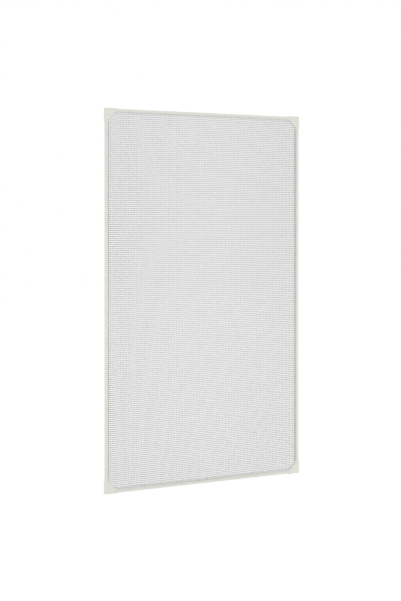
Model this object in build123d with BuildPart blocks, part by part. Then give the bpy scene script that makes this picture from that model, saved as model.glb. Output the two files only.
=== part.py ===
"""Magnetic insect screen for a window.

A slim white frame of four hollow bars and four moulded corners holds a net, which a soft cord presses into
a groove that passes under the gussets of the corners. Magnet strips in the backs of the bars cling to
counter strips that are taped to the window frame.
The screen stands upright: its front looks along -Y, the window is on the +Y side, and the origin is the
middle of the overall box. In a bar's section, across runs inwards from the outer edge and depth runs back
from the bar's face.
"""

import os
from math import radians, sqrt, tan

from build123d import *

# Overall size over the corners, and how far the corners stand proud of the bars
screen_width = 800.0
screen_height = 1400.0
corner_edge_proud = 2.0
corner_face_proud = 0.8

# Bar profile
profile_width = 15.0
profile_depth = 9.0
profile_wall = 1.3
face_width = 10.0
face_edge_radius = 0.8
lip_edge_radius = 0.4

# Groove for the net and its cord, sunk in a ledge behind the face
ledge_depth = 1.8
groove_width = 2.4
groove_depth = 2.0

# Moulded corners
corner_leg = 47.0
corner_straight = 1.2
gusset_lip_radius = 1.4
gusset_cover = 1.4
gusset_bevel_tip = 0.8
gusset_bevel_angle = 50.0
net_slit_height = 0.6
corner_outer_radius = 3.0
corner_edge_radius = 0.7
corner_wall = 1.5
corner_rib = 1.4
tongue_length = 32.0
tongue_lead = 0.8
tongue_slot_length = 22.0
tongue_slot_width = 2.4
tongue_clearance = 0.1

# Net: a thin wall with the weft raised on its front, the warp on its back, and some of its open cells
weft_pitch = 14.6
warp_pitch = 12.6
thread_width = 2.4
thread_height = 0.25
net_wall = 0.3
net_rim = 0.35
net_seat_clearance = 0.05
gap_columns = 8
gap_rows = 15

# Soft cord, the spline, that holds the rim of the net in the groove
spline_ribs = 10
spline_clearance = 0.08
spline_end_gap = 0.4

# Magnet strips, counter strips and tape
channel_margin = 1.0
channel_depth = 1.6
magnet_width = 10.0
magnet_thickness = 1.8
magnet_side_clearance = 0.1
window_strip_thickness = 1.5
strip_edge_chamfer = 0.3
tape_thickness = 0.8
tape_inset = 0.5

# Places along the depth, from the bar's face
groove_floor = ledge_depth + groove_depth
magnet_front = profile_depth - channel_depth
magnet_back = magnet_front + magnet_thickness
window_strip_back = magnet_back + window_strip_thickness
tape_back = window_strip_back + tape_thickness
face_y = corner_face_proud - (corner_face_proud + tape_back) / 2

# Bars: half the size over their outer edges, and the length between two corners
bar_half_width = screen_width / 2 - corner_edge_proud
bar_half_height = screen_height / 2 - corner_edge_proud
upright_length = 2 * (bar_half_height - corner_leg)
rail_length = 2 * (bar_half_width - corner_leg)

# Hollow chamber and channels of the profile
chamber_width = face_width - 2 * profile_wall
chamber_depth = profile_depth - channel_depth - 2 * profile_wall
channel_width = magnet_width + 2 * magnet_side_clearance
relief_across = channel_margin + channel_width + profile_wall
relief_width = profile_width - relief_across - profile_wall
relief_depth = profile_depth - groove_floor - profile_wall

# Groove line round the opening: along the bars, then slanting under each gusset with rounded bends. The line
# of the gusset's edge slants nearer to the opening by the setback
groove_line = face_width + groove_width / 2
lip_shift = profile_width - groove_line
gusset_bend_radius = gusset_lip_radius + lip_shift
groove_setback = groove_width + gusset_cover
groove_half = groove_width / 2
lip_setback = lip_shift + groove_half
gusset_edge_radius = gusset_bend_radius + groove_half
gusset_start = corner_leg - corner_straight - gusset_bend_radius * tan(radians(22.5))

# Section planes of the bars: local X points inwards and local Y points back
bar_planes = {
    "left": Plane(
        (-bar_half_width, face_y, corner_leg - bar_half_height), x_dir=(1, 0, 0), z_dir=(0, 0, 1)
    ),
    "right": Plane(
        (bar_half_width, face_y, bar_half_height - corner_leg), x_dir=(-1, 0, 0), z_dir=(0, 0, -1)
    ),
    "top": Plane(
        (corner_leg - bar_half_width, face_y, bar_half_height), x_dir=(0, 0, -1), z_dir=(1, 0, 0)
    ),
    "bottom": Plane(
        (bar_half_width - corner_leg, face_y, -bar_half_height), x_dir=(0, 0, 1), z_dir=(-1, 0, 0)
    ),
}
bar_lengths = {"left": upright_length, "right": upright_length, "top": rail_length, "bottom": rail_length}

# Face planes of the corners: the origin is where the bars' outer edges meet, both axes run along the bars
corner_planes = {
    "bottom_left": Plane((-bar_half_width, face_y, -bar_half_height), x_dir=(1, 0, 0), z_dir=(0, -1, 0)),
    "bottom_right": Plane((bar_half_width, face_y, -bar_half_height), x_dir=(0, 0, 1), z_dir=(0, -1, 0)),
    "top_right": Plane((bar_half_width, face_y, bar_half_height), x_dir=(-1, 0, 0), z_dir=(0, -1, 0)),
    "top_left": Plane((-bar_half_width, face_y, bar_half_height), x_dir=(0, 0, -1), z_dir=(0, -1, 0)),
}

# Face plane of the whole screen, with +Z up the sheet
screen_plane = Plane((0, face_y, 0), x_dir=(1, 0, 0), z_dir=(0, -1, 0))


def gusset_points(shift, reach, setback):
    """Corner points of the gusset's line, moved by shift towards the opening and cut off at reach.

    A setback moves its slanted stretch alone, away from the opening."""
    along = groove_line + shift
    turn = gusset_start - setback * sqrt(2) + shift * (sqrt(2) - 1)
    return [(along, reach), (along, turn), (turn, along), (reach, along)]


def loop_size(shift, setback):
    """Width, height and corner cut of that line round the whole opening, moved by shift towards it."""
    width = 2 * (bar_half_width - groove_line - shift)
    height = 2 * (bar_half_height - groove_line - shift)
    cut = gusset_start - setback * sqrt(2) - groove_line - shift * (2 - sqrt(2))
    return width, height, cut


def loop_face(shift, setback, mode=Mode.ADD):
    """Face inside that line moved by shift: a rectangle with slanted, rounded corners."""
    width, height, cut = loop_size(shift, setback)
    with BuildSketch(mode=Mode.PRIVATE) as loop:
        Rectangle(width, height)
        chamfer(loop.vertices(), length=cut)
        fillet(loop.vertices(), radius=gusset_bend_radius - shift)
    add(loop.sketch, mode=mode)


os.makedirs("parts", exist_ok=True)


def save(solid, node):
    """Name a finished piece and write its file."""
    solid.label = node
    export_step(solid, f"parts/{node}.step")


# Bars: one hollow section, extruded between the corners
for side, plane in bar_planes.items():
    with BuildPart() as profile:
        with BuildSketch(plane):
            Rectangle(profile_width, profile_depth, align=Align.MIN)
            with Locations((face_width, 0)):
                Rectangle(profile_width - face_width, ledge_depth, align=Align.MIN, mode=Mode.SUBTRACT)
                Rectangle(groove_width, groove_floor, align=Align.MIN, mode=Mode.SUBTRACT)
            with Locations((channel_margin, magnet_front)):
                Rectangle(channel_width, channel_depth, align=Align.MIN, mode=Mode.SUBTRACT)
            with Locations((relief_across, groove_floor + profile_wall)):
                Rectangle(relief_width, relief_depth, align=Align.MIN, mode=Mode.SUBTRACT)
            with Locations((profile_wall, profile_wall)):
                Rectangle(chamber_width, chamber_depth, align=Align.MIN, mode=Mode.SUBTRACT)
            fillet(vertices().group_by(Axis.Y)[0], radius=face_edge_radius)
            lip_edges = vertices().filter_by_position(Axis.Y, ledge_depth, ledge_depth)
            fillet(lip_edges, radius=lip_edge_radius)
        extrude(amount=bar_lengths[side])
    save(profile.part, f"profile_{side}")

# Corners: a proud gusset with the groove and a slit for the net under it, two tongues and a ribbed back
for place, plane in corner_planes.items():
    outer_corner = plane.from_local_coords((-corner_edge_proud, -corner_edge_proud, 0))
    outer_edge = [
        (corner_leg, -corner_edge_proud),
        (-corner_edge_proud, -corner_edge_proud),
        (-corner_edge_proud, corner_leg),
    ]
    with BuildPart() as corner:
        with BuildSketch(plane.offset(-ledge_depth)):
            with BuildLine():
                inner = FilletPolyline(
                    gusset_points(lip_shift, corner_leg, lip_setback), radius=gusset_lip_radius
                )
                Polyline(inner @ 1, *outer_edge, inner @ 0)
            make_face()
        extrude(amount=ledge_depth - profile_depth)

        with BuildSketch(plane.offset(corner_face_proud)):
            with BuildLine():
                step = FilletPolyline(gusset_points(-groove_half, corner_leg, 0), radius=gusset_edge_radius)
                Polyline(step @ 1, *outer_edge, step @ 0)
            make_face()
        extrude(amount=-corner_face_proud - ledge_depth)

        with BuildSketch(plane.offset(-gusset_bevel_tip)):
            with BuildLine():
                bevel_reach = 2 * corner_leg
                rim = FilletPolyline(gusset_points(-groove_half, bevel_reach, 0), radius=gusset_edge_radius)
                Polyline(rim @ 1, (bevel_reach, bevel_reach), rim @ 0)
            make_face()
        bevel_height = gusset_bevel_tip + corner_face_proud
        extrude(amount=bevel_height, taper=-gusset_bevel_angle, mode=Mode.SUBTRACT)

        with BuildSketch(plane.offset(net_slit_height - ledge_depth)):
            with BuildLine():
                outer = FilletPolyline(
                    gusset_points(-groove_half, corner_leg, groove_setback), radius=gusset_edge_radius
                )
                mouth = FilletPolyline(gusset_points(0, corner_leg, 0), radius=gusset_bend_radius)
                Line(outer @ 0, mouth @ 0)
                Line(outer @ 1, mouth @ 1)
            make_face()
        extrude(amount=-net_slit_height, mode=Mode.SUBTRACT)

        with BuildSketch(plane.offset(-ledge_depth)):
            with BuildLine():
                near = FilletPolyline(
                    gusset_points(-groove_half, corner_leg, groove_setback), radius=gusset_edge_radius
                )
                far = FilletPolyline(
                    gusset_points(groove_half, corner_leg, groove_setback),
                    radius=gusset_bend_radius - groove_half,
                )
                Line(near @ 0, far @ 0)
                Line(near @ 1, far @ 1)
            make_face()
        extrude(amount=-groove_depth, mode=Mode.SUBTRACT)

        with BuildSketch(plane.offset(-profile_depth)):
            with BuildLine():
                core_edge = corner_wall - corner_edge_proud
                core_reach = corner_leg - corner_wall
                slant = Polyline(gusset_points(-groove_half - corner_wall, core_reach, groove_setback))
                Polyline(
                    slant @ 1,
                    (core_reach, core_edge),
                    (core_edge, core_edge),
                    (core_edge, core_reach),
                    slant @ 0,
                )
            make_face()
            Rectangle(2 * corner_leg, corner_rib, rotation=45, mode=Mode.SUBTRACT)
        extrude(amount=profile_depth - corner_wall, mode=Mode.SUBTRACT)

        with BuildSketch(plane.offset(-profile_wall - tongue_clearance)):
            tongue_width = chamber_width - 2 * tongue_clearance
            tongue_middle = profile_wall + chamber_width / 2
            slot_middle = corner_leg + tongue_length / 2
            with Locations((tongue_middle, corner_leg)):
                Rectangle(tongue_width, tongue_length, align=(Align.CENTER, Align.MIN))
            with Locations((corner_leg, tongue_middle)):
                Rectangle(tongue_length, tongue_width, align=(Align.MIN, Align.CENTER))
            with Locations((tongue_middle, slot_middle)):
                SlotOverall(tongue_slot_length, tongue_slot_width, rotation=90, mode=Mode.SUBTRACT)
            with Locations((slot_middle, tongue_middle)):
                SlotOverall(tongue_slot_length, tongue_slot_width, mode=Mode.SUBTRACT)
        extrude(amount=2 * tongue_clearance - chamber_depth)

        tongue_tips = ShapeList()
        for direction in (plane.x_dir, plane.y_dir):
            tongue_tips += corner.faces().sort_by(Axis(plane.origin, direction))[-1].edges()
        chamfer(tongue_tips, length=tongue_lead)
        outermost_edge = corner.edges().filter_by(Axis.Y).sort_by_distance(outer_corner)[0]
        fillet(outermost_edge, radius=corner_outer_radius)
        fillet(corner.faces().sort_by(Axis.Y)[0].edges(), radius=corner_edge_radius)
    save(corner.part, f"corner_{place}")

# Net: its wall lies over the lip, its rim goes down into the groove and under the spline
rim_near = groove_width / 2 - net_seat_clearance
rim_far = rim_near - net_rim
rim_floor = groove_floor - net_seat_clearance
rim_foot_reach = (groove_width - net_rim) / 2
wall_back = ledge_depth - thread_height
wall_front = wall_back - net_wall
net_width, net_height, _ = loop_size(rim_far, groove_setback)
weft_count = 2 * int(net_height / 2 / weft_pitch)
warp_count = 2 * int(net_width / 2 / warp_pitch)
gap_step_columns = 2 * int((warp_count - 1) / (gap_columns - 1) / 2)
gap_step_rows = int((weft_count - 1) / (gap_rows - 1))
with BuildPart() as net:
    with BuildSketch(screen_plane.offset(-wall_back)):
        loop_face(rim_far, groove_setback)
        with GridLocations(
            gap_step_columns * warp_pitch, gap_step_rows * weft_pitch, gap_columns, gap_rows
        ):
            Rectangle(warp_pitch - thread_width, weft_pitch - thread_width, mode=Mode.SUBTRACT)
    extrude(amount=net_wall)

    with BuildSketch(screen_plane.offset(-wall_back)):
        loop_face(rim_far, groove_setback)
        loop_face(rim_near, groove_setback, mode=Mode.SUBTRACT)
    extrude(amount=wall_back - rim_floor)

    with BuildSketch(screen_plane.offset(-rim_floor)):
        loop_face(-rim_foot_reach, groove_setback)
        loop_face(rim_near, groove_setback, mode=Mode.SUBTRACT)
    extrude(amount=net_rim)

    with BuildSketch(screen_plane.offset(-wall_front)):
        with GridLocations(warp_pitch, weft_pitch, 1, weft_count):
            Rectangle(net_width, thread_width)
        loop_face(rim_far, groove_setback, mode=Mode.INTERSECT)
        loop_face(0, 0, mode=Mode.INTERSECT)
    extrude(amount=thread_height)

    with BuildSketch(screen_plane.offset(-wall_back)):
        with GridLocations(warp_pitch, weft_pitch, warp_count, 1):
            Rectangle(thread_width, net_height)
        loop_face(rim_near, groove_setback, mode=Mode.INTERSECT)
    extrude(amount=-thread_height)
save(net.part, "insect_net")

# Spline: a ribbed cord in one length, its two ends meeting in the middle of the bottom bar
spline_shift = (rim_far - groove_width / 2) / 2
spline_radius = (rim_far + groove_width / 2) / 2 - spline_clearance
spline_depth = rim_floor - net_rim - spline_clearance - spline_radius
route_width, route_height, route_cut = loop_size(spline_shift, groove_setback)
route_x = route_width / 2
route_z = route_height / 2
with BuildPart() as spline:
    with BuildLine(screen_plane.offset(-spline_depth)) as route:
        FilletPolyline(
            (spline_end_gap / 2, -route_z),
            (route_x - route_cut, -route_z),
            (route_x, route_cut - route_z),
            (route_x, route_z - route_cut),
            (route_x - route_cut, route_z),
            (route_cut - route_x, route_z),
            (-route_x, route_z - route_cut),
            (-route_x, route_cut - route_z),
            (route_cut - route_x, -route_z),
            (-spline_end_gap / 2, -route_z),
            radius=gusset_bend_radius - spline_shift,
        )
    with BuildSketch(Plane(route.line @ 0, z_dir=route.line % 0)):
        RegularPolygon(spline_radius, spline_ribs)
    sweep()
save(spline.part, "retaining_spline")

# Magnet strips in the channels, counter strips behind them, and the tape behind those
magnet_across = channel_margin + magnet_side_clearance
for side, plane in bar_planes.items():
    with BuildPart() as magnet:
        with BuildSketch(plane):
            with Locations((magnet_across, magnet_front)):
                Rectangle(magnet_width, magnet_thickness, align=Align.MIN)
            chamfer(vertices(), length=strip_edge_chamfer)
        extrude(amount=bar_lengths[side])
    save(magnet.part, f"magnet_{side}")

    with BuildPart() as window_strip:
        with BuildSketch(plane):
            with Locations((magnet_across, magnet_back)):
                Rectangle(magnet_width, window_strip_thickness, align=Align.MIN)
            chamfer(vertices(), length=strip_edge_chamfer)
        extrude(amount=bar_lengths[side])
    save(window_strip.part, f"window_strip_{side}")

    with BuildPart() as tape:
        with BuildSketch(plane):
            with Locations((magnet_across + tape_inset, window_strip_back)):
                Rectangle(magnet_width - 2 * tape_inset, tape_thickness, align=Align.MIN)
        extrude(amount=bar_lengths[side])
    save(tape.part, f"tape_{side}")
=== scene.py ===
# %% [markdown]
# # A magnetic insect screen
#
# The object is a slim white frame with a fine net in it, held on a window by magnet strips. The solids
# of the frame are already made to size, so this lesson loads them, leaves them where they are, and
# works on what a solid model does not give: the threads of the net, the ribbed cord in its groove, and
# a finish for every piece. Everything is in metres. The screen stands upright, its front looks along -Y
# and Z is up.

# %% Load the solids and measure them
import math

import bpy
import numpy as np
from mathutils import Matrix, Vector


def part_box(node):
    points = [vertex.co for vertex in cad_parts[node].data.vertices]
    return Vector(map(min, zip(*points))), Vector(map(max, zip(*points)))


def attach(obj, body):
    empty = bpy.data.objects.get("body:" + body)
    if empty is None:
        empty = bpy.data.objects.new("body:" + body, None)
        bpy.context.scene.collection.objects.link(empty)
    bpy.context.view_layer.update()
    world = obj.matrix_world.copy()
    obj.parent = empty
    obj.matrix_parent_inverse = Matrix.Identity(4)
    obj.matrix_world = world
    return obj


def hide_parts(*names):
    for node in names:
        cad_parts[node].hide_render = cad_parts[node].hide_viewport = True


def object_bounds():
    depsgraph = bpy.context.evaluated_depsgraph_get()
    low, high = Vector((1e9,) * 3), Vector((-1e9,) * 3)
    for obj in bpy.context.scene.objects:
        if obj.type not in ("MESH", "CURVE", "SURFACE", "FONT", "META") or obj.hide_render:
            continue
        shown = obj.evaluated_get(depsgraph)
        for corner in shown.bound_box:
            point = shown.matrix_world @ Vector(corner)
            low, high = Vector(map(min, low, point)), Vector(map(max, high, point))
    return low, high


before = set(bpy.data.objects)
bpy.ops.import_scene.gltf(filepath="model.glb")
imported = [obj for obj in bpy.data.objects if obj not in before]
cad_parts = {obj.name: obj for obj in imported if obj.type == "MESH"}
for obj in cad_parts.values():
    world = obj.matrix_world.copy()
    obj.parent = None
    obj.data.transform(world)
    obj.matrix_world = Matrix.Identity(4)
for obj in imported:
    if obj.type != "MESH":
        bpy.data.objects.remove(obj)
cad_low, cad_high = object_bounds()
MM = 0.001
print("pieces loaded:", len(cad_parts))
print("overall size in mm:", [round(side / MM, 1) for side in cad_high - cad_low])

# %% [markdown]
# ## The camera
#
# The picture to match has upright edges that stay parallel, so the camera is level and the framing
# comes from a small vertical shift of the lens, as on a view camera. The alternative is to tilt the
# camera, but then the uprights would lean towards each other. The camera stands to the left of the
# screen, above its middle.

# %% Place the camera
CAMERA_PLACE = (-1.5354, -3.4957, 0.2873)
CAMERA_LEVEL = math.radians(90)
CAMERA_TURN = math.radians(-23.436)
CAMERA_LENS = 60.489
CAMERA_SHIFT = -0.1311

camera_data = bpy.data.cameras.new("camera")
camera_data.lens = CAMERA_LENS
camera_data.shift_y = CAMERA_SHIFT
camera = bpy.data.objects.new("camera", camera_data)
camera.location = CAMERA_PLACE
camera.rotation_euler = (CAMERA_LEVEL, 0, CAMERA_TURN)
scene = bpy.context.scene
scene.collection.objects.link(camera)
scene.camera = camera
scene.view_settings.view_transform = "Standard"
print("camera distance in m:", round(math.hypot(*CAMERA_PLACE), 2))

# %% [markdown]
# ## Small helpers for node trees
#
# Every finish here is a tree of shader nodes. Writing such a tree out is long, so a few helpers shorten
# it. One starts a material with its shader, one adds a node, sets its inputs and links what is handed
# to it, one gives the finish to its solids, and the others are the steps that come back in most
# finishes: noise, a blend of two colours, a ramp and a relief.

# %% Helpers that start a material and add a node


def add_node(tree, kind, inputs=None, **settings):
    """Adds one node. A setting is a property of the node; an input is a number, a colour or a socket."""
    node = tree.nodes.new(kind)
    for name, value in settings.items():
        setattr(node, name, value)
    for name, value in (inputs or {}).items():
        if isinstance(value, bpy.types.NodeSocket):
            tree.links.new(value, node.inputs[name])
        else:
            node.inputs[name].default_value = value
    return node


def empty_tree(owner):
    """The node tree of a material or a world, with nothing in it yet."""
    owner.use_nodes = True
    owner.node_tree.nodes.clear()
    return owner.node_tree


def start_finish(name, **inputs):
    """A material with one principled shader; gives back the material, its node tree and the shader."""
    material = bpy.data.materials.new(name)
    tree = empty_tree(material)
    shader = add_node(tree, "ShaderNodeBsdfPrincipled", inputs)
    add_node(tree, "ShaderNodeOutputMaterial", {"Surface": shader.outputs["BSDF"]})
    return material, tree, shader


def dress(prefix, finish):
    """Gives a finish to every solid whose name starts with the prefix."""
    names = [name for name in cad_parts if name.startswith(prefix)]
    for name in names:
        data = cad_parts[name].data
        data.materials.clear()
        data.materials.append(finish)
    print(f"{finish.name}: {len(names)} pieces")


# %% Helpers for patterns
NOISE_LOW = 0.3
NOISE_HIGH = 0.7


def object_place(tree):
    """The place of a point in the screen's own coordinates."""
    return add_node(tree, "ShaderNodeTexCoord").outputs["Object"]


def stretched_noise(tree, per_metre, detail=2.0):
    """Noise on Object coordinates with its own number of grains per metre along x, y and z."""
    mapping = add_node(tree, "ShaderNodeMapping", {"Vector": object_place(tree), "Scale": per_metre})
    noise = add_node(
        tree, "ShaderNodeTexNoise", {"Vector": mapping.outputs["Vector"], "Scale": 1.0, "Detail": detail}
    )
    return noise.outputs["Fac"]


def even_noise(tree, per_metre, detail=2.0):
    """Noise with the same number of grains per metre in every direction."""
    return stretched_noise(tree, [per_metre] * 3, detail)


def blend_colours(tree, factor, low, high):
    """A colour that goes from low to high over the range where noise mostly lies."""
    ramp = add_node(tree, "ShaderNodeValToRGB", {"Fac": factor})
    ramp.color_ramp.elements[0].position = NOISE_LOW
    ramp.color_ramp.elements[1].position = NOISE_HIGH
    ramp.color_ramp.elements[0].color = (*low, 1.0)
    ramp.color_ramp.elements[1].color = (*high, 1.0)
    return ramp.outputs["Color"]


def spread(tree, factor, low, high, start=0.0, stop=1.0):
    """A number that goes from low to high as the factor goes from start to stop, and no further."""
    mapped = add_node(
        tree,
        "ShaderNodeMapRange",
        {"Value": factor, "From Min": start, "From Max": stop, "To Min": low, "To Max": high},
    )
    return mapped.outputs["Result"]


def raise_bumps(tree, shader, height, strength, depth):
    """Tilts the shader's normal as a relief of this depth in metres would."""
    bump = add_node(tree, "ShaderNodeBump", {"Height": height, "Strength": strength, "Distance": depth})
    tree.links.new(bump.outputs["Normal"], shader.inputs["Normal"])


# %% [markdown]
# ## White extruded bars
#
# The bars are pushed through a die as a soft plastic, which leaves fine lines along their length and a
# satin gloss. Painting the lines as colour would look like dirt, so they are a shallow relief and a
# change of gloss. The noise is stretched along the bar: many grains across it and few along it.
#
# The groove and the lip beside it lie in the shade of the bar's step and of the net that lies on the lip.
# On the short bars, where the lip shows most, a paler white is painted there: painted light that lifts
# this shade.

# %% Where light is painted on the thin walls
bar_low, bar_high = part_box("profile_top")
LIP_AND_GROOVE = 5.0 * MM
FRONT_MARGIN = 0.85 * MM
BACK_MARGIN = 1.0 * MM
PAINTED_LIGHT_FRONT = bar_low.y + FRONT_MARGIN
PAINTED_LIGHT_BACK = bar_high.y - BACK_MARGIN
print("thin walls from y", round(PAINTED_LIGHT_FRONT / MM, 2), "to", round(PAINTED_LIGHT_BACK / MM, 2), "mm")

# %% Helpers for the painted light
EDGE_BLEND = 0.2 * MM
# A mix node's sockets for colours share their names with those for numbers, so they go by their place.
MIX_FIRST_COLOUR, MIX_SECOND_COLOUR, MIX_RESULT_COLOUR = 6, 7, 2


def calculate(tree, operation, *values):
    """One calculation on numbers or sockets, such as ADD, MULTIPLY or ABSOLUTE."""
    return add_node(tree, "ShaderNodeMath", dict(enumerate(values)), operation=operation).outputs[0]


def along_axis(tree, axis):
    """One coordinate of a point."""
    return add_node(tree, "ShaderNodeSeparateXYZ", {"Vector": object_place(tree)}).outputs[axis]


def from_middle(tree, axis):
    """The distance from the middle of the screen along one axis."""
    return calculate(tree, "ABSOLUTE", along_axis(tree, axis))


# The mask of the painted light on the lip, the groove and the slanted wall of the corners.
def painted_light_share(tree, distance, edge):
    """1 where the distance from the middle is under the edge, between front and back, and 0 elsewhere.

    It is the product of three ramps: one over the distance at the edge and two over the depth y.
    """
    depth = along_axis(tree, "Y")
    inside = spread(tree, distance, 1.0, 0.0, edge, edge + EDGE_BLEND)
    behind = spread(tree, depth, 0.0, 1.0, PAINTED_LIGHT_FRONT - EDGE_BLEND, PAINTED_LIGHT_FRONT)
    before = spread(tree, depth, 1.0, 0.0, PAINTED_LIGHT_BACK, PAINTED_LIGHT_BACK + EDGE_BLEND)
    return calculate(tree, "MULTIPLY", calculate(tree, "MULTIPLY", inside, behind), before)


def mix_colours(tree, share, first, second):
    """The first colour where the share is 0 and the second where it is 1."""
    mixed = add_node(tree, "ShaderNodeMix", {"Factor": share}, data_type="RGBA")
    tree.links.new(first, mixed.inputs[MIX_FIRST_COLOUR])
    mixed.inputs[MIX_SECOND_COLOUR].default_value = (*second, 1.0)
    return mixed.outputs[MIX_RESULT_COLOUR]


# %% Finish of the bars
PLASTIC_IOR = 1.5
BAR_SPECULAR = 0.4
BAR_ROUGHNESS = (0.34, 0.5)
BAR_LOW = (0.676, 0.683, 0.632)
BAR_HIGH = (0.698, 0.704, 0.653)
# The paler white on the lip is painted light that lifts the shade of the net and the step there.
LIP_PAINTED_LIGHT = (0.84, 0.845, 0.81)
LINES_ACROSS = 1400.0
LINES_ALONG = 9.0
CLOUDS_ACROSS = 80.0
CLOUDS_ALONG = 6.0
LINE_STRENGTH = 0.25
LINE_DEPTH = 0.04 * MM
X_AXIS, Z_AXIS = 0, 2


def bar_noise(tree, along, per_metre_across, per_metre_along, detail):
    """Noise that is stretched along one axis."""
    per_metre = [per_metre_across] * 3
    per_metre[along] = per_metre_along
    return stretched_noise(tree, per_metre, detail)


def bar_finish(name, along):
    """Satin white plastic with die lines along one axis."""
    material, tree, shader = start_finish(name, **{"IOR": PLASTIC_IOR, "Specular IOR Level": BAR_SPECULAR})
    lines = bar_noise(tree, along, LINES_ACROSS, LINES_ALONG, detail=3.0)
    clouds = bar_noise(tree, along, CLOUDS_ACROSS, CLOUDS_ALONG, detail=2.0)
    colour = blend_colours(tree, clouds, BAR_LOW, BAR_HIGH)
    if along == X_AXIS:
        # Painted light: the lip and groove of the short bars get a paler white against the shade of the
        # net and the step.
        painted_lip_light = painted_light_share(tree, from_middle(tree, "Z"), bar_low.z + LIP_AND_GROOVE)
        colour = mix_colours(tree, painted_lip_light, colour, LIP_PAINTED_LIGHT)
    tree.links.new(colour, shader.inputs["Base Color"])
    tree.links.new(spread(tree, lines, *BAR_ROUGHNESS), shader.inputs["Roughness"])
    raise_bumps(tree, shader, lines, LINE_STRENGTH, LINE_DEPTH)
    return material


for side, along in (("top", X_AXIS), ("bottom", X_AXIS), ("left", Z_AXIS), ("right", Z_AXIS)):
    dress(f"profile_{side}", bar_finish(f"bar_plastic_{side}", along))

# %% [markdown]
# ## Moulded corners
#
# The corners come from another machine: they are injected into a steel mould whose surface was
# roughened by sparks. That gives a fine even grain with no direction, a slightly warmer white and a
# softer gloss. The slanted wall under the gusset's edge lies in shade behind the net, so light is painted
# on it as a paler white, as on the lip. On a slant of 45 degrees the sum of the distances along x and z
# stays the same, so the edge is measured by this sum.

# %% Finish of the corners
CORNER_SPECULAR = 0.35
CORNER_ROUGHNESS = (0.46, 0.62)
CORNER_LOW = (0.686, 0.693, 0.622)
CORNER_HIGH = (0.706, 0.713, 0.641)
CORNER_GRAINS = 2600.0
CORNER_CLOUDS = 60.0
GRAIN_STRENGTH = 0.35
GRAIN_DEPTH = 0.06 * MM
# The paler white on the slanted wall is painted light that lifts the shade behind the net.
SLANT_PAINTED_LIGHT = (0.90, 0.905, 0.86)
SLANT_EDGE = 1044.6 * MM


def corner_finish(name):
    """Grained white plastic, with light painted on the slanted wall as a paler white."""
    material, tree, shader = start_finish(
        name, **{"IOR": PLASTIC_IOR, "Specular IOR Level": CORNER_SPECULAR}
    )
    grain = even_noise(tree, CORNER_GRAINS, detail=4.0)
    colour = blend_colours(tree, even_noise(tree, CORNER_CLOUDS), CORNER_LOW, CORNER_HIGH)
    slant = calculate(tree, "ADD", from_middle(tree, "X"), from_middle(tree, "Z"))
    # Painted light: a paler white on the slanted wall under the gusset's edge.
    colour = mix_colours(tree, painted_light_share(tree, slant, SLANT_EDGE), colour, SLANT_PAINTED_LIGHT)
    tree.links.new(colour, shader.inputs["Base Color"])
    tree.links.new(spread(tree, grain, *CORNER_ROUGHNESS), shader.inputs["Roughness"])
    raise_bumps(tree, shader, grain, GRAIN_STRENGTH, GRAIN_DEPTH)
    return material


dress("corner_", corner_finish("corner_plastic"))

# %% [markdown]
# ## Magnet strips and counter strips
#
# Behind the bars are strips of rubber filled with magnet powder, and the counter strips on the window
# are made of the same. They are rolled to thickness, so they are dull and dark. A fine noise is enough
# for them: it gives the powdery speckle, the uneven gloss and a shallow relief at once.

# %% Finish of the strips
STRIP_SPECULAR = 0.3
STRIP_ROUGHNESS = (0.6, 0.8)
STRIP_SPECKLES = 900.0
SPECKLE_STRENGTH = 0.4
SPECKLE_DEPTH = 0.08 * MM
MAGNET_LOW = (0.036, 0.032, 0.029)
MAGNET_HIGH = (0.058, 0.052, 0.047)
COUNTER_LOW = (0.044, 0.041, 0.038)
COUNTER_HIGH = (0.066, 0.061, 0.056)


def strip_finish(name, low, high):
    """Dull magnet rubber with a powdery speckle."""
    material, tree, shader = start_finish(name, **{"Specular IOR Level": STRIP_SPECULAR})
    speckle = even_noise(tree, STRIP_SPECKLES, detail=5.0)
    tree.links.new(blend_colours(tree, speckle, low, high), shader.inputs["Base Color"])
    tree.links.new(spread(tree, speckle, *STRIP_ROUGHNESS), shader.inputs["Roughness"])
    raise_bumps(tree, shader, speckle, SPECKLE_STRENGTH, SPECKLE_DEPTH)
    return material


dress("magnet_", strip_finish("magnet_rubber", MAGNET_LOW, MAGNET_HIGH))
dress("window_strip_", strip_finish("strip_rubber", COUNTER_LOW, COUNTER_HIGH))

# %% [markdown]
# ## Foam tape
#
# The tape that sticks the counter strips to the window is a closed-cell foam: pale, with a skin of
# small round cells. Plain noise has no round cells, so this finish takes a Voronoi pattern, whose
# distance to the nearest cell's middle serves both as colour and as relief.

# %% Finish of the tape
TAPE_ROUGHNESS = 0.85
TAPE_SPECULAR = 0.2
TAPE_LOW = (0.74, 0.74, 0.72)
TAPE_HIGH = (0.84, 0.84, 0.82)
CELLS_PER_METRE = 1800.0
CELL_STRENGTH = 0.5
CELL_DEPTH = 0.1 * MM


def tape_finish(name):
    """Pale foam with small round cells."""
    material, tree, shader = start_finish(
        name, **{"Roughness": TAPE_ROUGHNESS, "Specular IOR Level": TAPE_SPECULAR}
    )
    cells = add_node(
        tree, "ShaderNodeTexVoronoi", {"Vector": object_place(tree), "Scale": CELLS_PER_METRE}
    ).outputs["Distance"]
    tree.links.new(blend_colours(tree, cells, TAPE_LOW, TAPE_HIGH), shader.inputs["Base Color"])
    raise_bumps(tree, shader, cells, CELL_STRENGTH, CELL_DEPTH)
    return material


dress("tape_", tape_finish("foam_tape"))

# %% [markdown]
# ## The line of the groove
#
# Net and cord both follow the groove round the opening: along the four bars and, at each corner,
# slanting under a gusset with a small round bend at either end. That is a rectangle with its corners
# cut off, so it has eight bends of 45 degrees. Each bend is an arc; the straight stretches between need
# no points of their own.

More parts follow.
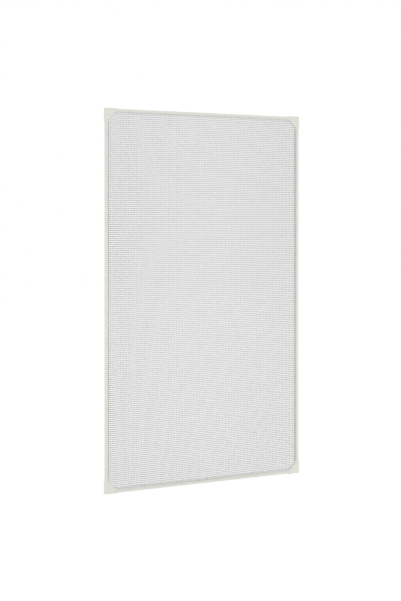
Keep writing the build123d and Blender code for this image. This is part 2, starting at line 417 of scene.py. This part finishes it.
# %% Measure the cord
spline_low, spline_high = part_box("retaining_spline")
SPLINE_RADIUS = 0.92 * MM
SPLINE_DEPTH = (spline_high.y + spline_low.y) / 2
SPLINE_HALF_WIDTH = spline_high.x - SPLINE_RADIUS
SPLINE_HALF_HEIGHT = spline_high.z - SPLINE_RADIUS
print("cord in mm: thickness", round(2 * SPLINE_RADIUS / MM, 2), "depth", round(SPLINE_DEPTH / MM, 2))

# %% Function for the groove line
SPLINE_CORNER_CUT = 27.189 * MM
SPLINE_BEND = 5.4 * MM
BENDS = 8
BENDS_ON_UPRIGHTS = (0, 3, 4, 7)
BENDS_ON_RIGHT = (0, 1, 6, 7)
ARC_STEPS = 7
HALF_BEND = math.radians(22.5)


def groove_loop(inwards):
    """The groove's line, moved inwards from the cord's middle: points x and z, and the outward angles.

    Bend k turns from the outward angle 45 k to 45 (k + 1) degrees, so bend 0 is at the top of the right
    bar. Its arc is centred on the bend's bisector, at radius / cos(22.5 degrees) behind the sharp corner.
    A point is that centre plus radius * (cos, sin). Moving the line inwards shortens the cut of a corner
    by (2 - root of 2) times the move.
    """
    half_x = SPLINE_HALF_WIDTH - inwards
    half_z = SPLINE_HALF_HEIGHT - inwards
    cut = SPLINE_CORNER_CUT - inwards * (2 - math.sqrt(2))
    radius = SPLINE_BEND - inwards
    bend = np.arange(BENDS)
    on_upright = np.isin(bend, BENDS_ON_UPRIGHTS)
    sign_x = np.where(np.isin(bend, BENDS_ON_RIGHT), 1.0, -1.0)
    sign_z = np.where(bend < BENDS / 2, 1.0, -1.0)
    sharp_x = sign_x * np.where(on_upright, half_x, half_x - cut)
    sharp_z = sign_z * np.where(on_upright, half_z - cut, half_z)
    bisector = 2 * HALF_BEND * bend + HALF_BEND
    centre_x = sharp_x - radius / math.cos(HALF_BEND) * np.cos(bisector)
    centre_z = sharp_z - radius / math.cos(HALF_BEND) * np.sin(bisector)
    angle = 2 * HALF_BEND * (bend[:, None] + np.linspace(0, 1, ARC_STEPS)[None, :])
    x = centre_x[:, None] + radius * np.cos(angle)
    z = centre_z[:, None] + radius * np.sin(angle)
    return x.ravel(), z.ravel(), angle.ravel()


loop_x, loop_z, loop_angle = groove_loop(0.0)
print("the cord's line has", len(loop_x), "points")

# %% [markdown]
# ## Meshes from arrays
#
# Cord and threads are all tubes: rows of points, one ring of points per row. A modifier on a curve
# could draw them, but with arrays the rings go exactly where the groove is. The faces only depend on
# how many rows and how many points round there are, so one function numbers them for any count of
# tubes.

# %% Helpers for meshes


def mesh_piece(name, vertices, faces, finish):
    """A mesh object at the origin from an array of points and a list of face arrays."""
    data = bpy.data.meshes.new(name)
    face_list = [face for part in faces for face in part.tolist()]
    data.from_pydata(vertices.reshape(-1, 3).tolist(), [], face_list)
    data.materials.append(finish)
    data.polygons.foreach_set("use_smooth", np.ones(len(data.polygons), bool))
    data.update()
    piece = bpy.data.objects.new(name, data)
    scene.collection.objects.link(piece)
    return piece


def tube_faces(rows, around, copies=1):
    """Quads between the rows of points of a tube, and a cap on each end, for several tubes at once."""
    tube = np.arange(copies)[:, None, None] * rows * around
    row = np.arange(rows - 1)[None, :, None] * around
    here = np.arange(around)[None, None, :]
    there = (here + 1) % around
    first = tube + row
    second = first + around
    corners = np.broadcast_arrays(first + here, first + there, second + there, second + here)
    quads = np.stack(corners, axis=-1).reshape(-1, 4)
    ring = np.arange(around)[None, :] + np.arange(copies)[:, None] * rows * around
    return [quads, ring[:, ::-1], ring + (rows - 1) * around]


# %% [markdown]
# ## The retaining cord
#
# A soft pale cord is rolled into the groove over the edge of the net. Such cord has fine ribs along it,
# so that it grips. The ribs are part of the section: a circle whose radius ripples. The section is
# carried round the groove, and the two ends meet in the middle of the bottom bar with a hair's gap
# between them.

# %% Function for the cord's surface
RIBS = 10
RIB_DEPTH = 0.10 * MM
SECTION_STEPS = 60
END_GAP = 0.4 * MM
DOWNWARDS = math.radians(270)
FIRST_BEND = 6


def spline_points():
    """A rippled circle carried along the groove, from one end of the cord to the other.

    The path starts right of the bottom's middle and ends left of it. A point of the section is moved
    outwards by r cos(t) and back by r sin(t), where r = radius - rib depth * (1 - cos(ribs * t)) / 2.
    """
    start = FIRST_BEND * ARC_STEPS
    path_x = np.concatenate(([END_GAP / 2], np.roll(loop_x, -start), [-END_GAP / 2]))
    path_z = np.concatenate(([-SPLINE_HALF_HEIGHT], np.roll(loop_z, -start), [-SPLINE_HALF_HEIGHT]))
    path_angle = np.concatenate(([DOWNWARDS], np.roll(loop_angle, -start), [DOWNWARDS]))
    turn = np.linspace(0, 2 * math.pi, SECTION_STEPS, endpoint=False)
    radius = SPLINE_RADIUS - RIB_DEPTH * (1 - np.cos(RIBS * turn)) / 2
    out = (radius * np.cos(turn))[None, :]
    back = (radius * np.sin(turn))[None, :]
    x = path_x[:, None] + out * np.cos(path_angle)[:, None]
    z = path_z[:, None] + out * np.sin(path_angle)[:, None]
    y = np.broadcast_to(SPLINE_DEPTH + back, x.shape)
    return np.stack((x, y, z), axis=-1)


# %% Make the retaining cord
CORD_SPECULAR = 0.35
CORD_ROUGHNESS = (0.5, 0.7)
CORD_LOW = (0.76, 0.76, 0.745)
CORD_HIGH = (0.82, 0.82, 0.80)
CORD_DUST = 420.0


def cord_finish(name):
    """Soft pale rubber with a little dust on it."""
    material, tree, shader = start_finish(name, **{"Specular IOR Level": CORD_SPECULAR})
    dust = even_noise(tree, CORD_DUST, detail=4.0)
    tree.links.new(blend_colours(tree, dust, CORD_LOW, CORD_HIGH), shader.inputs["Base Color"])
    tree.links.new(spread(tree, dust, *CORD_ROUGHNESS), shader.inputs["Roughness"])
    return material


points = spline_points()
cord = mesh_piece("ribbed_spline", points, tube_faces(*points.shape[:2]), cord_finish("spline_rubber"))
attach(cord, "root")
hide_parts("retaining_spline")
print("ribbed_spline:", len(cord.data.polygons), "faces")

# %% [markdown]
# ## The net
#
# The net is woven from glass threads in a plastic coat, which welds them where they cross. One picture
# of a net on a flat sheet would be quick, but it has no depth and vanishes edge-on, so each thread is a
# real strand. There are over a thousand, so a strand has few faces: a six-sided section on a path of
# four points. It runs straight over the opening, bends at the groove and goes down beside the cord.
# Every few threads one is thicker, which is the grid that can be seen from a step away.

# %% Sizes of the threads
net_low, net_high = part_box("insect_net")
WEFT_PITCH = 1.46 * MM
WARP_PITCH = 1.575 * MM
THICK_WEFT_EVERY = 5
THICK_WARP_EVERY = 4
FINE_WIDTH = 0.34 * MM
THICK_WEFT_WIDTH = 1.40 * MM
THICK_WARP_WIDTH = 0.90 * MM
FINE_HEIGHT = 0.28 * MM
THICK_HEIGHT = 0.32 * MM
grid = (WEFT_PITCH * THICK_WEFT_EVERY, WARP_PITCH * THICK_WARP_EVERY)
print("grid of the thick threads in mm:", [round(step / MM, 2) for step in grid])

# %% Depths of the threads
LEDGE_BEHIND_FRONT = 0.8 * MM
WELDED_STEP = 0.2 * MM
FOOT_MARGIN = 0.6 * MM
WARP_DEPTH = net_low.y + LEDGE_BEHIND_FRONT - THICK_HEIGHT / 2
WEFT_DEPTH = WARP_DEPTH - WELDED_STEP
FOOT_DEPTH = net_high.y - FOOT_MARGIN
depths = (WEFT_DEPTH, WARP_DEPTH, FOOT_DEPTH)
print("depths of weft, warp and feet in mm:", [round(depth / MM, 2) for depth in depths])

# %% Functions for the strands
STRAND_SIDES = 6
STRAND_ROWS = 4


def strand_points(place, reach, width, height, depth):
    """Points of straight strands that bend down into the groove, as (along, depth, place).

    The path is foot, edge, edge, foot. At an end the front of the strand faces outwards and over the
    opening it faces the viewer, so the section's height is added to along by (-1, -1, 1, 1) and to depth
    by (0, -1, -1, 0). The section is a flattened hexagon: half the width times cos(t), half the height
    times sin(t).
    """
    turn = np.linspace(0, 2 * math.pi, STRAND_SIDES, endpoint=False)
    side = (np.cos(turn) / 2)[None, None, :] * width[:, None, None]
    front = (np.sin(turn) / 2)[None, None, :] * height[:, None, None]
    end = np.array([-1.0, -1.0, 1.0, 1.0])[None, :, None]
    face = np.array([0.0, -1.0, -1.0, 0.0])[None, :, None]
    level = np.array([FOOT_DEPTH, depth, depth, FOOT_DEPTH])[None, :, None]
    along = end * (reach[:, None, None] + front)
    across = np.broadcast_to(place[:, None, None] + side, along.shape)
    back = np.broadcast_to(level + face * front, along.shape)
    return along, back, across


def thread_set(edge_place, edge_reach, pitch, thick_every, thick_width, depth):
    """Threads a pitch apart, as many on both sides of the middle: their points, and which are thick.

    A thread reaches as far as the groove's line does at its place, read between the line's points.
    """
    count = int((edge_place.max() - pitch) / pitch)
    number = np.arange(-count, count + 1)
    place = number * pitch
    order = np.argsort(edge_place)
    reach = np.interp(np.abs(place), edge_place[order], edge_reach[order])
    thick = number % thick_every == 0
    width = np.where(thick, thick_width, FINE_WIDTH)
    height = np.where(thick, THICK_HEIGHT, FINE_HEIGHT)
    return strand_points(place, reach, width, height, depth), thick


# %% Work out the threads
NET_INWARDS = 1.175 * MM
BENDS_AT_A_CORNER = 2
edge_x, edge_z, _ = groove_loop(NET_INWARDS)
top_right = slice(0, BENDS_AT_A_CORNER * ARC_STEPS)
corner_x, corner_z = edge_x[top_right], edge_z[top_right]

weft_points, weft_thick = thread_set(
    corner_z, corner_x, WEFT_PITCH, THICK_WEFT_EVERY, THICK_WEFT_WIDTH, WEFT_DEPTH
)
warp_points, warp_thick = thread_set(
    corner_x, corner_z, WARP_PITCH, THICK_WARP_EVERY, THICK_WARP_WIDTH, WARP_DEPTH
)
weft = np.stack(weft_points, axis=-1)
warp = np.stack(warp_points[::-1], axis=-1)[:, :, ::-1]
print(len(weft), "weft and", len(warp), "warp threads")

# %% Finishes of the threads
THREAD_ROUGHNESS = 0.5
THREAD_SPECULAR = 0.3
THREAD_CLOUDS = 260.0
FINE_GREYS = ((0.75, 0.75, 0.76), (0.81, 0.81, 0.82))
THICK_WEFT_GREYS = ((0.32, 0.32, 0.32), (0.38, 0.38, 0.38))
THICK_WARP_GREYS = ((0.47, 0.47, 0.47), (0.53, 0.53, 0.53))


def thread_finish(name, low, high):
    """Plastic-coated glass thread: a soft gloss and a slightly uneven grey."""
    material, tree, shader = start_finish(
        name, **{"Roughness": THREAD_ROUGHNESS, "Specular IOR Level": THREAD_SPECULAR}
    )
    fibre = even_noise(tree, THREAD_CLOUDS)
    tree.links.new(blend_colours(tree, fibre, low, high), shader.inputs["Base Color"])
    return material


fine_finish = thread_finish("net_thread", *FINE_GREYS)
thick_weft_finish = thread_finish("net_thick_weft", *THICK_WEFT_GREYS)
thick_warp_finish = thread_finish("net_thick_warp", *THICK_WARP_GREYS)
print("thread finishes:", fine_finish.name, thick_weft_finish.name, thick_warp_finish.name)

# %% Make the net
FINE, THICK_WEFT, THICK_WARP = 0, 1, 2
END_CAPS = 2
strands = np.concatenate((weft, warp))
net = mesh_piece("net_threads", strands, tube_faces(STRAND_ROWS, STRAND_SIDES, len(strands)), fine_finish)
net.data.materials.append(thick_weft_finish)
net.data.materials.append(thick_warp_finish)
weft_kind = np.where(weft_thick, THICK_WEFT, FINE)
warp_kind = np.where(warp_thick, THICK_WARP, FINE)
strand_kind = np.concatenate((weft_kind, warp_kind))
number = np.arange(len(strands))
side_strand = np.repeat(number, (STRAND_ROWS - 1) * STRAND_SIDES)
face_strand = np.concatenate((side_strand, np.tile(number, END_CAPS)))
net.data.polygons.foreach_set("material_index", strand_kind[face_strand].astype(np.int32))
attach(net, "root")
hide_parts("insect_net")
print("net_threads:", len(net.data.polygons), "faces")

# %% [markdown]
# ## White surround
#
# The light is that of a plain studio. A white surround gives most of it, at a level where a colour
# looks as it is written. The picture's background is pure white, which would be too much light on the
# object, so the world has two strengths: one for the light that falls on things, and white for what is
# seen straight.

# %% Helpers for white light
WHITE = (1, 1, 1, 1)


def white_light(tree, kind, strength):
    """White light from a world's background or from a surface that shines."""
    return add_node(tree, kind, {"Color": WHITE, "Strength": strength}).outputs[0]


def seen_directly(tree):
    """1 for what is seen straight, in a mirror or through glass, and 0 for light that falls on things."""
    path = add_node(tree, "ShaderNodeLightPath").outputs
    reflected = calculate(tree, "MAXIMUM", path["Is Camera Ray"], path["Is Glossy Ray"])
    return calculate(tree, "MAXIMUM", reflected, path["Is Transmission Ray"])


def choose_shader(tree, share, first, second):
    """The first shader where the share is 0 and the second where it is 1."""
    return add_node(tree, "ShaderNodeMixShader", {0: share, 1: first, 2: second}).outputs["Shader"]


# %% Make the surround
WORLD_LEVEL = 0.88
SHOWN_LEVEL = 1.0
world = bpy.data.worlds.new("studio")
scene.world = world
tree = empty_tree(world)
lighting = white_light(tree, "ShaderNodeBackground", WORLD_LEVEL)
shown = white_light(tree, "ShaderNodeBackground", SHOWN_LEVEL)
surround = choose_shader(tree, seen_directly(tree), lighting, shown)
add_node(tree, "ShaderNodeOutputWorld", {"Surface": surround})
print("surround: lights at", WORLD_LEVEL, "and shows as", SHOWN_LEVEL)

# %% [markdown]
# ## Floor
#
# The screen stands on a floor that is as white as the surround but still takes the shadow. So the floor
# is mostly a white glow to the camera, with a share of a matt surface that the shadow falls on.

# %% Make the floor
FLOOR_REACH = 9.0
FLOOR_LEVEL = cad_low.z
SHADOW_SHARE = 0.12
FLOOR_WHITE = 1.03
floor_material = bpy.data.materials.new("floor")
tree = empty_tree(floor_material)
matt = add_node(tree, "ShaderNodeBsdfDiffuse", {"Color": WHITE}).outputs["BSDF"]
glow = white_light(tree, "ShaderNodeEmission", FLOOR_WHITE)
share = calculate(tree, "MULTIPLY", seen_directly(tree), 1 - SHADOW_SHARE)
add_node(tree, "ShaderNodeOutputMaterial", {"Surface": choose_shader(tree, share, matt, glow)})
square = np.array([(-1, -1), (1, -1), (1, 1), (-1, 1)]) * FLOOR_REACH
floor_points = np.column_stack((square, np.full(len(square), FLOOR_LEVEL)))
floor = mesh_piece("floor", floor_points, [np.arange(len(square))[None, :]], floor_material)
print("floor at", round(FLOOR_LEVEL, 3), "m")

# %% [markdown]
# ## Lamps
#
# Two soft lamps in front give the plastic a sheen. Two small ones low down keep the bottom bar, which
# gets less of the surround, as light as the top one. A lamp shines along its own -Z, so two angles turn
# it to its aim.

# %% Place the lamps


def lamp(name, place, aim, size, watts):
    """A square soft lamp at a place, turned to shine at the aim."""
    data = bpy.data.lights.new(name, "AREA")
    data.size = size
    data.energy = watts
    made = bpy.data.objects.new(name, data)
    made.location = place
    direction = np.subtract(aim, place)
    tilt = math.acos(-direction[2] / np.linalg.norm(direction))
    turn = math.atan2(direction[1], direction[0]) - math.pi / 2
    made.rotation_euler = (tilt, 0, turn)
    scene.collection.objects.link(made)
    print(f"lamp {name}: {watts} W")


lamp("key", place=(-2.2, -3.2, 2.6), aim=(0, 0, 0), size=2.5, watts=3)
lamp("fill", place=(2.8, -2.6, 1.4), aim=(0, 0, 0), size=2.0, watts=3)
lamp("low_left", place=(-1.8, -1.5, -0.3), aim=(-0.2, 0, -0.65), size=0.8, watts=5)
lamp("low_right", place=(1.3, -1.6, -0.3), aim=(0.2, 0, -0.65), size=0.8, watts=5)
